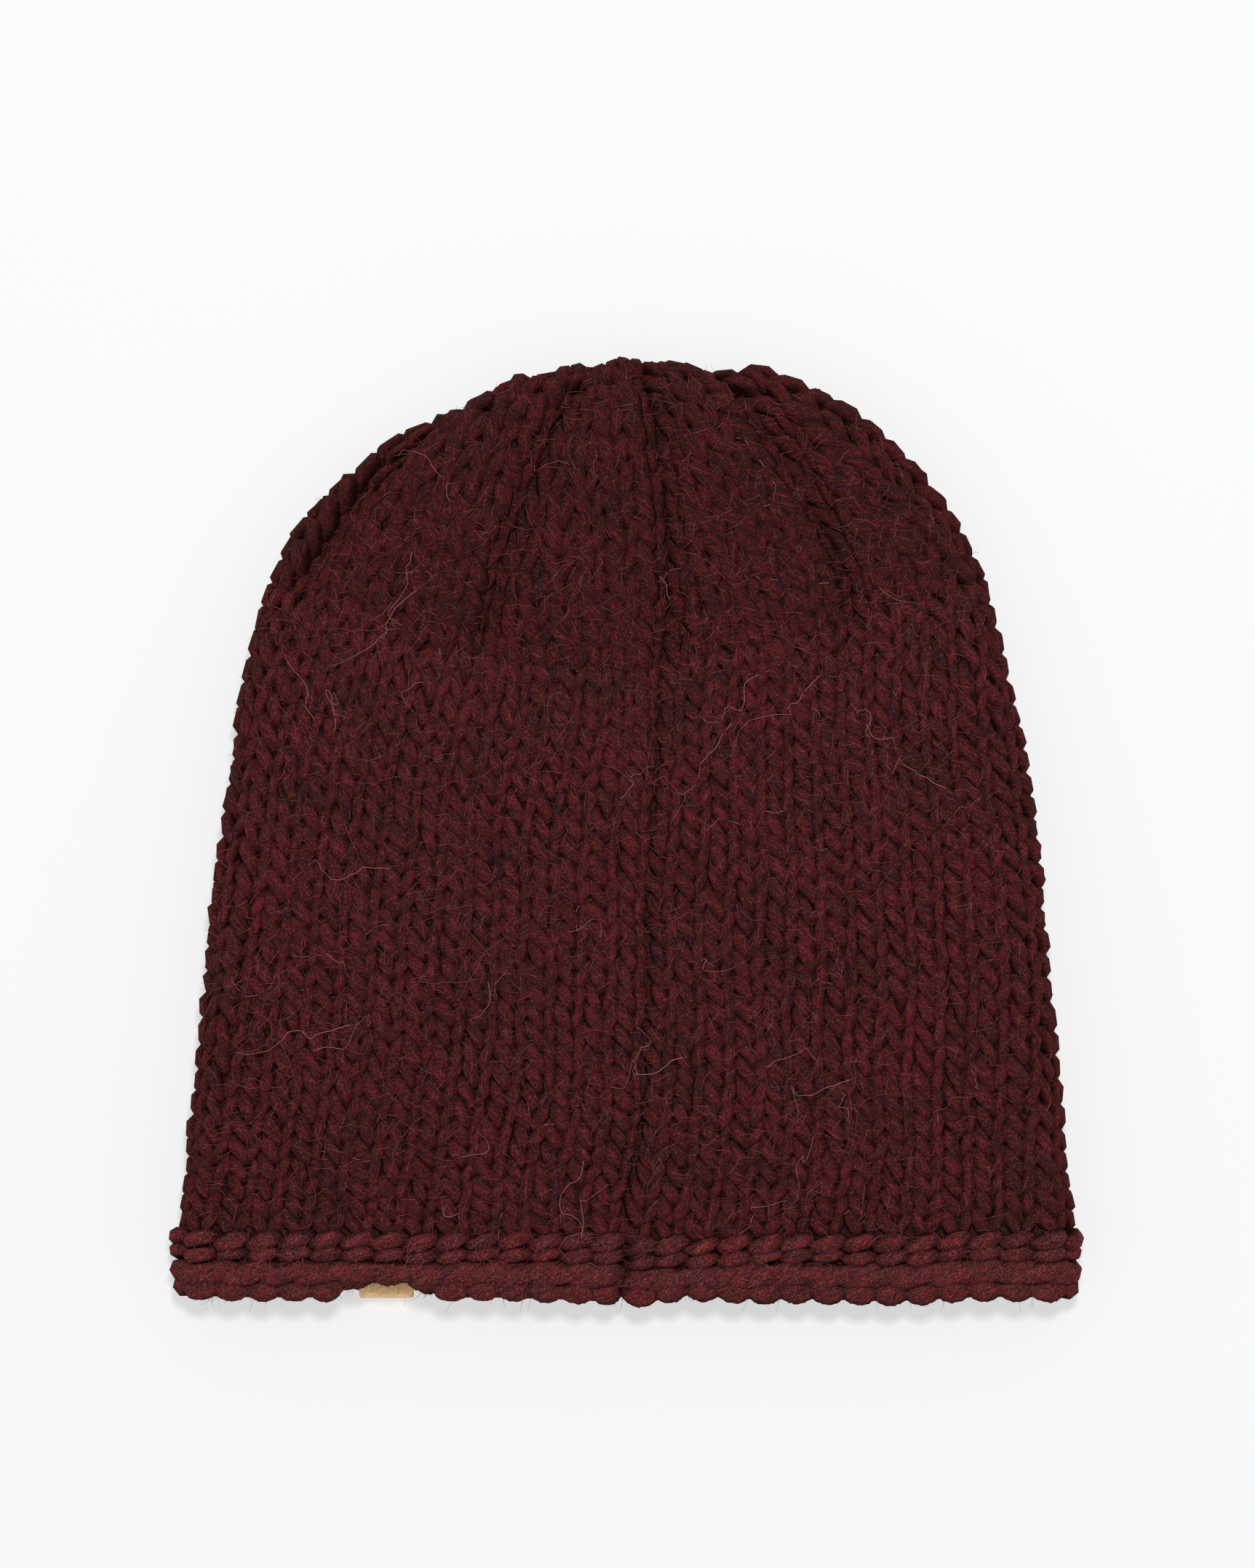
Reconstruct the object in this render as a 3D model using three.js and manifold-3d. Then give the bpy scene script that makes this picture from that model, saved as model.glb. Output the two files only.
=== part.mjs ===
// A chunky hand-knitted beanie, lying flat with its back seam upwards.
// Millimetres, +Z up. X runs across the hat, +Y from the brim to the crown, and z = 0 is what it lies on.

import * as THREE from "three";
import { mergeVertices } from "three/addons/utils/BufferGeometryUtils.js";
import Module from "manifold-3d";

const manifold = await Module();
manifold.setup();

// Driving dimensions

const hatLength = 256.9;
const brimHeight = 21.4;
const knitWall = 6;
const pieceGap = 0.3;

// The two folds at the sides of the flat hat, from the brim line up to the top of the crown
const apex = { x: 1.4, rise: hatLength };
const leftFold = [
  { x: -120.7, rise: 21.4 },
  { x: -116.6, rise: 58.6 },
  { x: -113.2, rise: 97.8 },
  { x: -108.5, rise: 137.1 },
  { x: -103.6, rise: 170 },
  { x: -97.9, rise: 192 },
  { x: -88.9, rise: 210.6 },
  { x: -75.6, rise: 224.4 },
  { x: -55.6, rise: 239 },
  { x: -29.7, rise: 250.8 },
  apex,
];
const rightFold = [
  { x: 120.7, rise: 21.4 },
  { x: 117.5, rise: 58.6 },
  { x: 113.8, rise: 97.8 },
  { x: 110.1, rise: 137.1 },
  { x: 103.4, rise: 170 },
  { x: 98.1, rise: 192 },
  { x: 89.8, rise: 211 },
  { x: 80.4, rise: 224.4 },
  { x: 66.4, rise: 239 },
  { x: 45, rise: 250.8 },
  apex,
];

// The back seam, up the upper layer
const backSeam = [
  { x: -0.5, rise: 21.4 },
  { x: 4.6, rise: 56.7 },
  { x: 7.7, rise: 141.4 },
  { x: 11.5, rise: 183.9 },
  { x: 8.1, rise: 224.7 },
  { x: 4.8, rise: 240 },
  apex,
];

// The middle of the front, under it
const frontMiddle = [{ x: 0, rise: 21.4 }, { x: 0.6, rise: 140 }, apex];

// How high the under layer and the upper layer stand at each rise
const heights = [
  { rise: -5, floor: 2.1, top: 23 },
  { rise: 21.4, floor: 2.1, top: 23.2 },
  { rise: 45, floor: 0.6, top: 25.4 },
  { rise: 70, floor: 0, top: 26.6 },
  { rise: 150, floor: 0, top: 27 },
  { rise: 200, floor: 0, top: 25.6 },
  { rise: 235, floor: 0, top: 23.4 },
  { rise: 260, floor: 0, top: 21.6 },
];

// Broad soft hollows in the upper layer
const hollows = [
  { x: -64, rise: 186, reach: 24, depth: 1.8 },
  { x: 62, rise: 196, reach: 20, depth: 1.4 },
  { x: 9, rise: 150, reach: 30, depth: 1.2 },
  { x: -20, rise: 95, reach: 26, depth: 0.8 },
  { x: 70, rise: 110, reach: 28, depth: 0.7 },
];

// Rows of stitches, by how far up the seam they are: how far up each fold they end, how far the left half
// sags below its curve, and how straight the right half runs
const rowShapes = [
  { part: 0, leftEnd: 0, rightEnd: 0, sag: 0, straight: 0.9 },
  { part: 0.22, leftEnd: 0.206, rightEnd: 0.22, sag: -2, straight: 0.9 },
  { part: 0.39, leftEnd: 0.35, rightEnd: 0.365, sag: 6, straight: 0.9 },
  { part: 0.56, leftEnd: 0.51, rightEnd: 0.512, sag: 14, straight: 0.9 },
  { part: 0.72, leftEnd: 0.666, rightEnd: 0.666, sag: 14, straight: 0.55 },
  { part: 0.87, leftEnd: 0.84, rightEnd: 0.84, sag: 7, straight: 0.1 },
  { part: 1, leftEnd: 1, rightEnd: 1, sag: 0, straight: 0 },
];
const rowBendAtBrim = 0.15;

// The gathered top is pulled over the edge on to the front, and draws the knit round it along
const gather = { over: 18, alongReach: 55, inReach: 45 };

// Columns of knit between the seam and a fold, and where the decrease lines between them start
const halfColumns = 14;
const decreaseEvery = 7;
const decreaseLines = { upperLeft: -0.49, upperRight: 0.6, under: 0.5 };
const grooveFlank = 0.4;
const seamGroove = 1.7;
const decreaseGroove = 2.6;
const decreaseStart = { from: 0.62, full: 0.74 };

// Section of the edge band: how far its outer and inner faces stand out from the body at each rise
const bandOuter = [
  { rise: 0, proud: -3.6 },
  { rise: 0.8, proud: -1.4 },
  { rise: 2.6, proud: 0.4 },
  { rise: 6.5, proud: 1.9 },
  { rise: 9.8, proud: 2.1 },
  { rise: 12.4, proud: 0.7 },
  { rise: 14.6, proud: 1.7 },
  { rise: 16.6, proud: 0.6 },
  { rise: 18.8, proud: 1.3 },
  { rise: 21.4, proud: 0 },
];
const bandInner = [
  { rise: 0, wall: 4.6 },
  { rise: 2, wall: 6.4 },
  { rise: 6, wall: 7.4 },
  { rise: 13, wall: 7 },
  { rise: 21.4, wall: 6 },
];
const seamPinch = 1.6;

// The lower edge of the upper layer's band wanders, and lifts over the label
const edgeLine = [
  { x: -117, lift: 2.3 },
  { x: -78, lift: 1.6 },
  { x: -71, lift: 4.8 },
  { x: -59, lift: 5.4 },
  { x: -52, lift: 1.8 },
  { x: -10, lift: 0 },
  { x: 7, lift: 0 },
  { x: 15, lift: 3 },
  { x: 36, lift: 1.4 },
  { x: 117, lift: 1.9 },
];
const underEdgeLift = 3.6;
const edgeFade = 11;

// The label, folded over the edge of the under layer
const label = { middle: -64.75, width: 14.5, thick: 1.2, height: 9.8, fold: 2.3, leg: 18.4 };

// How finely the solids are faceted
const outerRows = 38;
const innerRows = 20;
const innerColumns = 17;
const tracePoints = 64;
const crowding = 1.3;

// Places and tables

const toY = (rise) => rise - hatLength / 2;
const toRise = (y) => y + hatLength / 2;

const readTable = (table, key, column, at) => {
  const next = table.findIndex((row) => row[key] > at);
  if (next === 0) return table[0][column];
  if (next < 0) return table[table.length - 1][column];
  const [low, high] = [table[next - 1], table[next]];
  const part = (at - low[key]) / (high[key] - low[key]);
  return low[column] + part * (high[column] - low[column]);
};

const pathThrough = (table) =>
  new THREE.CatmullRomCurve3(
    table.map(({ x, rise }) => new THREE.Vector3(x, toY(rise), 0)),
    false,
    "centripetal",
  );

const paths = {
  left: pathThrough(leftFold),
  right: pathThrough(rightFold),
  seam: pathThrough(backSeam),
  front: pathThrough(frontMiddle),
};

// Both folds as one line of straight pieces, carried on past the brim: up the left one, down the right one
const below = new THREE.Vector3(0, -2 * brimHeight, 0);
const foldPoints = [
  paths.left.getPoint(0).add(below),
  ...paths.left.getSpacedPoints(tracePoints),
  ...paths.right.getSpacedPoints(tracePoints).reverse().slice(1),
  paths.right.getPoint(0).add(below),
];
let foldLength = 0;
const foldPieces = foldPoints.slice(1).map((end, i) => {
  const piece = new THREE.Line3(foldPoints[i], end);
  const direction = piece.delta(new THREE.Vector3()).normalize();
  const inward = new THREE.Vector3(direction.y, -direction.x, 0);
  const start = foldLength;
  foldLength += piece.distance();
  return { piece, inward, start };
});
const apexAlong = foldPieces[tracePoints + 1].start;

// Where a place lies from the nearest fold: how far in, negative outside, and how far along the fold line
const fromFold = (x, y) => {
  const point = new THREE.Vector3(x, y, 0);
  const nearest = new THREE.Vector3();
  let found = { distance: Infinity };
  for (const { piece, inward, start } of foldPieces) {
    piece.closestPointToPoint(point, true, nearest);
    const apart = nearest.distanceTo(point);
    if (apart >= Math.abs(found.distance)) continue;
    const inside = point.clone().sub(nearest).dot(inward) >= 0;
    const along = start + piece.start.distanceTo(nearest);
    found = { distance: inside ? apart : -apart, along, inward, foot: nearest.clone() };
  }
  return found;
};

// Surface of the knit

// Half the height of the sac, and the height of its middle
const thickness = (y) => {
  const floor = readTable(heights, "rise", "floor", toRise(y));
  const top = readTable(heights, "rise", "top", toRise(y));
  return { middle: (top + floor) / 2, half: (top - floor) / 2 };
};

// One row of knit round the hat: its ends on the folds, its middles, and how much it bends between them
const bodyRow = (part) => {
  const shape = (column) => readTable(rowShapes, "part", column, part);
  return {
    left: paths.left.getPointAt(shape("leftEnd")),
    right: paths.right.getPointAt(shape("rightEnd")),
    upper: paths.seam.getPointAt(part),
    under: paths.front.getPointAt(part),
    sag: shape("sag"),
    straight: shape("straight"),
    bend: rowBendAtBrim + (1 - rowBendAtBrim) * part ** 3,
  };
};

// A straight row of the edge band
const bandRow = (rise) => {
  const level = (x) => new THREE.Vector3(x, toY(rise), 0);
  return {
    left: level(leftFold[0].x),
    right: level(rightFold[0].x),
    upper: level(backSeam[0].x),
    under: level(frontMiddle[0].x),
    sag: 0,
    straight: 0,
    bend: rowBendAtBrim,
  };
};

// A point of a row: across runs from -1 at the left fold to 1 at the right one
const rowPoint = (row, across, layer, inset) => {
  const fold = across < 0 ? row.left : row.right;
  const middle = layer > 0 ? row.upper : row.under;
  const k = Math.abs(across);
  const angle = (row.bend * Math.PI) / 2;
  const along = Math.sin(k * angle) / Math.sin(angle);
  const curve = (1 - Math.cos(k * angle)) / (1 - Math.cos(angle));
  const up = across > 0 ? row.straight * k + (1 - row.straight) * curve : curve;
  const sag = across < 0 && layer > 0 ? row.sag * k * (1 - k) : 0;
  const x = middle.x + (fold.x - middle.x) * along;
  const y = middle.y + (fold.y - middle.y) * up - sag;
  return onSac(x, y, layer, inset);
};

// A place of the flat plan brought on to the sac, or on to a face set in from it: the sac is flat above
// and below and half round at the fold, and the gather draws the knit over that edge
const onSac = (x, y, layer, inset) => {
  const { distance, along, inward, foot } = fromFold(x, y);
  const { middle, half } = thickness(y);
  const flat = Math.max(0, distance - half);
  const turn = Math.acos(1 - THREE.MathUtils.clamp(distance / half, 0, 1));
  const reach = -layer * (flat + half * turn);
  const near = ((along - apexAlong) / gather.alongReach) ** 2 + (reach / gather.inReach) ** 2;
  const moved = reach + gather.over * Math.exp(-near);
  const newTurn = Math.min(Math.abs(moved) / half, Math.PI / 2);
  const newFlat = Math.abs(moved) - half * newTurn;
  const place = foot.addScaledVector(inward, half + newFlat - (half - inset) * Math.cos(newTurn));
  const { middle: newMiddle, half: newHalf } = thickness(place.y);
  place.z = newMiddle - Math.sign(moved) * (newHalf - inset) * Math.sin(newTurn);
  return place;
};

// Evenly spaced points of one layer of a row, at stations from -1 to 1
const layerPoints = (row, layer, stations, inset) => {
  const traced = [];
  let length = 0;
  for (let i = 0; i <= tracePoints; i++) {
    const across = Math.sin(((2 * i) / tracePoints - 1) * (Math.PI / 2));
    const point = rowPoint(row, across, layer, inset);
    if (i > 0) length += point.distanceTo(traced[i - 1].point);
    traced.push({ across, point, length });
  }
  const atMiddle = readTable(traced, "across", "length", 0);
  return stations.map((station) => {
    const reach = station < 0 ? atMiddle : length - atMiddle;
    const across = readTable(traced, "length", "across", atMiddle + station * reach);
    return rowPoint(row, across, layer, inset);
  });
};

// Grooves and hollows

const smooth = (from, to, at) => THREE.MathUtils.smoothstep(at, from, to);

const groove = (column, layer, part) => {
  const offset = Math.abs(column - decreaseEvery * Math.round(column / decreaseEvery));
  const flank = Math.max(0, 1 - offset) ** 2;
  const isSeam = layer > 0 && Math.abs(column) < decreaseEvery / 2;
  const shaped = decreaseGroove * smooth(decreaseStart.from, decreaseStart.full, part);
  return flank * (isSeam ? Math.max(seamGroove, shaped) : shaped) * (1 - smooth(0.93, 1, part));
};

// Hollows die away near the folds
const hollow = (point) => {
  let depth = 0;
  for (const { x, rise, reach, depth: deepest } of hollows) {
    const apart = Math.hypot(point.x - x, point.y - toY(rise)) / reach;
    depth += deepest * Math.exp(-apart * apart);
  }
  return depth * smooth(6, 26, fromFold(point.x, point.y).distance);
};

// Columns that the outer face is faceted at: each one, and two more beside each groove
const columns = [];
for (let column = -halfColumns; column <= halfColumns; column++) {
  const onGroove = column % decreaseEvery === 0;
  if (onGroove && column > -halfColumns) columns.push(column - grooveFlank);
  columns.push(column);
  if (onGroove && column < halfColumns) columns.push(column + grooveFlank);
}

// Their places on a layer, evenly spaced between the fold, the decrease line and the seam
const columnStation = (column, layer) => {
  const onLeft = layer > 0 ? -decreaseLines.upperLeft : decreaseLines.under;
  const onRight = layer > 0 ? decreaseLines.upperRight : decreaseLines.under;
  const line = column < 0 ? onLeft : onRight;
  const part = Math.abs(column) / decreaseEvery;
  const station = part < 1 ? line * part : line + (1 - line) * (part - 1);
  return Math.sign(column) * station;
};

// The inner face's columns crowd towards the folds
const innerStations = [];
for (let i = 0; i <= innerColumns; i++) {
  innerStations.push(Math.sin(((2 * i) / innerColumns - 1) * (Math.PI / 2)));
}

// One closed ring: the upper layer from left to right, then the under layer back again
const closedRing = (layer) => [...layer(1), ...layer(-1).slice(1, -1).reverse()];

const outerRing = (row, inset, dress) =>
  closedRing((layer) => {
    const stations = columns.map((column) => columnStation(column, layer));
    return layerPoints(row, layer, stations, inset).map((point, i) => dress(point, columns[i], layer));
  });

const innerRing = (row, inset) => closedRing((layer) => layerPoints(row, layer, innerStations, inset));

// Solids from rings

// A closed solid through rings of equal length, each end closed by one point
const loftSolid = (rings, startPoint, endPoint) => {
  const count = rings[0].length;
  const points = [...rings.flat(), startPoint, endPoint];
  const start = points.length - 2;
  const end = points.length - 1;
  const faces = [];
  const at = (r, i) => r * count + (i % count);
  for (let i = 0; i < count; i++) {
    faces.push(start, at(0, i + 1), at(0, i));
    for (let r = 0; r + 1 < rings.length; r++) {
      faces.push(at(r, i), at(r, i + 1), at(r + 1, i));
      faces.push(at(r, i + 1), at(r + 1, i + 1), at(r + 1, i));
    }
    faces.push(at(rings.length - 1, i), at(rings.length - 1, i + 1), end);
  }
  const geometry = new THREE.BufferGeometry().setFromPoints(points);
  geometry.setIndex(faces);
  return toSolid(geometry);
};

const toSolid = (geometry) => {
  const bare = geometry.clone();
  bare.deleteAttribute("normal");
  bare.deleteAttribute("uv");
  const merged = mergeVertices(bare, 1e-5);
  const mesh = new manifold.Mesh({
    numProp: 3,
    vertProperties: new Float32Array(merged.attributes.position.array),
    triVerts: new Uint32Array(merged.index.array),
  });
  return new manifold.Manifold(mesh);
};

const toGeometry = (solid) => {
  const mesh = solid.getMesh();
  const geometry = new THREE.BufferGeometry();
  geometry.setAttribute("position", new THREE.BufferAttribute(mesh.vertProperties, 3));
  geometry.setIndex(new THREE.BufferAttribute(mesh.triVerts, 1));
  geometry.computeVertexNormals();
  return geometry;
};

const ringCentre = (points) =>
  points.reduce((sum, point) => sum.add(point), new THREE.Vector3()).divideScalar(points.length);

const shifted = (points, y) => points.map((point) => new THREE.Vector3(point.x, point.y + y, point.z));

// Crown: the knitted sac, from the brim line to the closed top

// Rows stand closer together towards the apex
const rowPart = (i, count) => 1 - (1 - i / count) ** crowding;

const crownSolid = () => {
  const outer = [];
  for (let i = 0; i < outerRows; i++) {
    const part = rowPart(i, outerRows);
    const dress = (point, column, layer) => {
      const dent = layer > 0 ? hollow(point) : 0;
      const isFold = Math.abs(column) === halfColumns;
      point.z -= isFold ? 0 : layer * (dent + groove(column, layer, part));
      return point;
    };
    outer.push(outerRing(bodyRow(part), 0, dress));
  }
  const inner = [];
  for (let i = 0; i < innerRows; i++) inner.push(innerRing(bodyRow(rowPart(i, innerRows)), knitWall));
  inner.unshift(shifted(inner[0], -brimHeight));
  const skin = loftSolid(outer, ringCentre(outer[0]), rowPoint(bodyRow(1), 0, 1, 0));
  return skin.subtract(loftSolid(inner, ringCentre(inner[0]), rowPoint(bodyRow(1), 0, 1, knitWall)));
};

// Brim: the edge band, with two ridges and a rolled edge

const brimSolid = () => {
  const topRise = brimHeight - pieceGap;
  const wander = (point, layer, rise) => {
    const lift = layer > 0 ? readTable(edgeLine, "x", "lift", point.x) : underEdgeLift;
    point.y += lift * Math.max(0, 1 - rise / edgeFade);
    return point;
  };
  const outer = bandOuter.map(({ rise, proud }) =>
    outerRing(bandRow(Math.min(rise, topRise)), -proud, (point, column, layer) => {
      if (layer > 0 && Math.abs(column) < 1) point.z -= seamPinch;
      return wander(point, layer, rise);
    }),
  );
  const inner = bandInner.map(({ rise, wall }) =>
    closedRing((layer) =>
      layerPoints(bandRow(rise), layer, innerStations, wall).map((point) => wander(point, layer, rise)),
    ),
  );
  inner.unshift(shifted(inner[0], -brimHeight));
  inner.push(shifted(inner.at(-1), brimHeight));
  const skin = loftSolid(outer, ringCentre(outer[0]), ringCentre(outer.at(-1)));
  const mouth = loftSolid(inner, ringCentre(inner[0]), ringCentre(inner.at(-1)));
  return skin.subtract(mouth).subtract(labelRecess());
};

// Label: a strip folded round the edge of the under layer

// The side view of a strip folded round a rounded core, its fold towards the hat's edge
const foldedStrip = (core, fold, height, legEnd, base) => {
  const shape = new THREE.Shape();
  const radius = height / 2;
  const coreRadius = core.height / 2;
  shape.moveTo(legEnd, base);
  shape.lineTo(fold + radius, base);
  shape.absarc(fold + radius, base + radius, radius, -Math.PI / 2, Math.PI / 2, true);
  shape.lineTo(legEnd, base + height);
  shape.lineTo(legEnd, core.base + core.height);
  shape.lineTo(core.fold + coreRadius, core.base + core.height);
  shape.absarc(core.fold + coreRadius, core.base + coreRadius, coreRadius, Math.PI / 2, -Math.PI / 2, false);
  shape.lineTo(legEnd, core.base);
  shape.closePath();
  return shape;
};

// Extruded across the hat: the shape's own axes are the hat's Y and Z
const acrossHat = (shape, width) => {
  const geometry = new THREE.ExtrudeGeometry(shape, { depth: width, bevelEnabled: false, curveSegments: 10 });
  geometry.applyMatrix4(new THREE.Matrix4().set(0, 0, 1, -width / 2, 1, 0, 0, 0, 0, 1, 0, 0, 0, 0, 0, 1));
  return geometry.translate(label.middle, 0, 0);
};

const labelGeometry = () => {
  const fold = toY(label.fold);
  const core = { base: label.thick, height: label.height - 2 * label.thick, fold: fold + label.thick };
  return acrossHat(foldedStrip(core, fold, label.height, fold + label.leg, 0), label.width);
};

// The room that the label takes in the band, with a small gap all round it
const labelRecess = () => {
  const fold = toY(label.fold);
  const inset = label.thick + pieceGap;
  const core = { base: inset, height: label.height - 2 * inset, fold: fold + inset };
  const room = label.height / 2;
  const end = fold + label.leg + pieceGap;
  const shape = foldedStrip(core, fold - room, label.height + 2 * room, end, -room);
  return toSolid(acrossHat(shape, label.width + 2 * pieceGap));
};

// Materials and assembly

const wool = new THREE.MeshStandardMaterial({ color: 0x411d1d, roughness: 0.95, metalness: 0 });
const brimWool = new THREE.MeshStandardMaterial({ color: 0x55292a, roughness: 0.95, metalness: 0 });
const suede = new THREE.MeshStandardMaterial({ color: 0xb5866d, roughness: 0.85, metalness: 0 });

const beanie = new THREE.Group();

const addPiece = (name, geometry, material) => {
  const mesh = new THREE.Mesh(geometry, material);
  mesh.name = name;
  beanie.add(mesh);
};

addPiece("crown", toGeometry(crownSolid()), wool);
addPiece("brim", toGeometry(brimSolid()), brimWool);
addPiece("label", labelGeometry(), suede);

export default beanie;
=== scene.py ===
import math
import bpy
import numpy as np
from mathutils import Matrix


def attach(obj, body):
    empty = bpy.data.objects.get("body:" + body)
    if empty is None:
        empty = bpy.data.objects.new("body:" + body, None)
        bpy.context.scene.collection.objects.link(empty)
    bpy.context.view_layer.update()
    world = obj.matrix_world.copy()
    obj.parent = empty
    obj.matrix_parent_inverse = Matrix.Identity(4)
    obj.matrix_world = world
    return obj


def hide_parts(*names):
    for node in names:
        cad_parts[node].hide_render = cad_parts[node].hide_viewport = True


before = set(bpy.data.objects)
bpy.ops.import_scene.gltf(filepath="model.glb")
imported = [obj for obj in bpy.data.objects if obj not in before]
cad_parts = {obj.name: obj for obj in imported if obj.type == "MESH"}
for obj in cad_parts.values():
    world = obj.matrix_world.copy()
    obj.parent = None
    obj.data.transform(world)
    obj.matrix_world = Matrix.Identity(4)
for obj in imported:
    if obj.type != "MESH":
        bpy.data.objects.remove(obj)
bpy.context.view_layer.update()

# Sizes in millimetres, colours in sRGB

hat = {
    "length": 256.9,
    "brimHeight": 21.4,
    "middleInset": 3.0,  # the middle of the knit, in from its outer face
    "middleHeight": 12.6,
    "leftFold": [
        (-120.7, 21.4), (-116.6, 58.6), (-113.2, 97.8), (-108.5, 137.1), (-103.6, 170), (-97.9, 192),
        (-88.9, 210.6), (-75.6, 224.4), (-55.6, 239), (-29.7, 250.8), (1.4, 256.9),
    ],
    "rightFold": [
        (120.7, 21.4), (117.5, 58.6), (113.8, 97.8), (110.1, 137.1), (103.4, 170), (98.1, 192),
        (89.8, 211), (80.4, 224.4), (66.4, 239), (45, 250.8), (1.4, 256.9),
    ],
    "seam": [
        (-0.5, 21.4), (4.6, 56.7), (7.7, 141.4), (11.5, 183.9), (8.1, 224.7), (4.8, 240), (1.4, 256.9),
    ],
    "front": [(0, 21.4), (0.6, 140), (1.4, 256.9)],
    "heights": [  # rise, floor, top
        (-5, 2.1, 23), (21.4, 2.1, 23.2), (45, 0.6, 25.4), (70, 0, 26.6),
        (150, 0, 27), (200, 0, 25.6), (235, 0, 23.4), (260, 0, 21.6),
    ],
    "hollows": [  # x, rise, reach, depth
        (-64, 186, 24, 1.8), (62, 196, 20, 1.4), (9, 150, 30, 1.2), (-20, 95, 26, 0.8), (70, 110, 28, 0.7),
    ],
    "hollowFrom": 6.0,  # in from the fold
    "hollowFade": 20.0,
    "rowShapes": [  # part, end on the left fold, end on the right fold, sag, straightness
        (0, 0, 0, 0, 0.9), (0.075, 0.065, 0.07, -1, 0.9), (0.223, 0.208, 0.222, -2, 0.9),
        (0.389, 0.35, 0.365, 6, 0.9), (0.56, 0.51, 0.512, 14, 0.9), (0.724, 0.67, 0.67, 14, 0.55),
        (0.87, 0.84, 0.84, 7, 0.1), (1, 1, 1, 0, 0),
    ],
    "bendAtBrim": 0.15,
    "apexCrowding": 1.25,
    "gatherOver": 18.0,
    "gatherAlong": 55.0,
    "gatherIn": 45.0,
}

knit = {
    "stitchesRound": 58,
    "wedges": 8,
    "courses": 42,
    "courseRise": [  # course, mm up the seam
        (0, 0), (5.5, 25.5), (9, 43.4), (12.5, 63), (38, 211), (42.6, 237),
    ],
    "lowestCourse": 4.64,  # height of a course that reaches down into the brim
    "wedgeStitches": [  # course, stitches between two decrease lines
        (28, 7.25), (29, 6.8), (30, 6.3), (33, 5.2), (35, 4.3), (37, 3.3), (38.5, 2.6), (40, 1.9), (42, 1),
    ],
    "loopHeight": 0.84,  # of a course
    "leanLeft": 0.25,  # how far a leg slants, of a stitch's width
    "leanRight": 0.22,
    "skew": 0.1,
    "legRadiusLeft": 2.35,
    "legRadiusRight": 1.9,
    "backRadius": 1.25,
    "fullWidth": 6.6,  # the yarn of a narrower stitch is thinner
    "depth": 1.9,
    "outward": -0.6,
    "stepsAbove": 14,  # points to a stitch
    "stepsBelow": 10,
    "sides": 7,
    "crownSize": 1.24,
    "seamGroove": 2.8,
    "seamReach": 3.6,
    "seamGap": 0.95,
    "gapReach": (0.5, 3.5),
    "decreaseGroove": 6.4,
    "decreaseReach": 4.6,
    "decreaseFrom": (0.6, 0.7),  # parts of the way up
    "decreaseTo": (0.93, 1),
    "grooveAtFold": 0.3,
    "foldFacing": (0.35, 0.85),
    "uneven": {
        "radius": 0.15, "lean": 0.3, "height": 0.1, "across": 0.07, "up": 0.1, "out": 0.5, "lumps": 0.1,
    },
    "drift": {"across": 0.1, "up": 0.12, "from": 4},  # of a stitch, over several stitches
    "seed": 11,
}

core = {
    "rim": 0.58,  # how far down the brim it reaches
    "floor": 0.4,
    "out": -0.7,
    "thick": 0.7,
    "across": 116,
    "rows": 38,
    "upTo": 0.997,
    "colour": (52, 22, 21),
}

band = {
    "purls": [  # rise, out from the middle of the knit, radius, reach in stitches, slant, depth
        {"rise": 19.1, "out": 1.0, "radius": 2.5, "reach": 0.13, "slant": 0.9, "depth": 2.0},
        {"rise": 15.3, "out": 1.3, "radius": 2.1, "reach": 0.12, "slant": 0.5, "depth": 1.6},
    ],
    "purlEnds": 0.6,  # radius between two bumps, of the full one
    "purlUneven": {"reach": 0.2, "rise": 0.5, "out": 0.25, "radius": 0.14, "lumps": 0.08},
    "roll": {"rise": 10.2, "out": 1.7, "radius": 2.95, "apart": 1.0, "flat": 0.7, "turns": -0.4},
    "rollUneven": {"turn": 0.35, "rise": 0.35, "radius": 0.1},
    "scallops": {"rise": 5.0, "out": 1.2, "radius": 3.3, "notch": 1.5, "dip": 0.9, "roundness": 0.7},
    "scallopUneven": {"rise": 0.4, "radius": 0.2, "lumps": 0.06},
    "inner": [
        {"rise": 4.5, "out": -2.4, "radius": 2.0}, {"rise": 9.5, "out": -2.6, "radius": 2.1},
        {"rise": 14.5, "out": -2.2, "radius": 1.9}, {"rise": 19.0, "out": -1.6, "radius": 1.9},
    ],
    "innerWave": {"rise": 0.5, "out": 0.2, "radius": 0.1},
    "edgeLine": [  # x, lift of the upper layer's edge
        (-117, 2.3), (-80, 1.4), (-73, 7.6), (-65, 9.4), (-58, 9.2), (-54, 6.4), (-49, 1.6), (-40, 1.6),
        (-10, 0.2), (0, 0.6), (6, 0), (14, 3), (18, 3.1), (28, 2.2), (36, 1.2), (60, 1.5), (117, 1.8),
    ],
    "underLift": 3.6,
    "edgeFade": 11.0,
    "seamDrop": {
        "left": 1.2, "leftReach": 60, "right": 3.0, "rightReach": 32, "fadeBelow": 12, "fadeAbove": 0.16,
    },
    "wobble": 0.45,
    "pinch": {
        "at": 10, "width": 2.6, "depth": 3.4, "slant": 0.25, "thinner": 0.25,
        "bulgeAt": -6.0, "bulgeWidth": 4.5, "bulge": 0.2,
    },
    "steps": 14,
    "scallopSteps": 16,
    "innerSteps": 8,
    "seed": 5,
}

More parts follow.
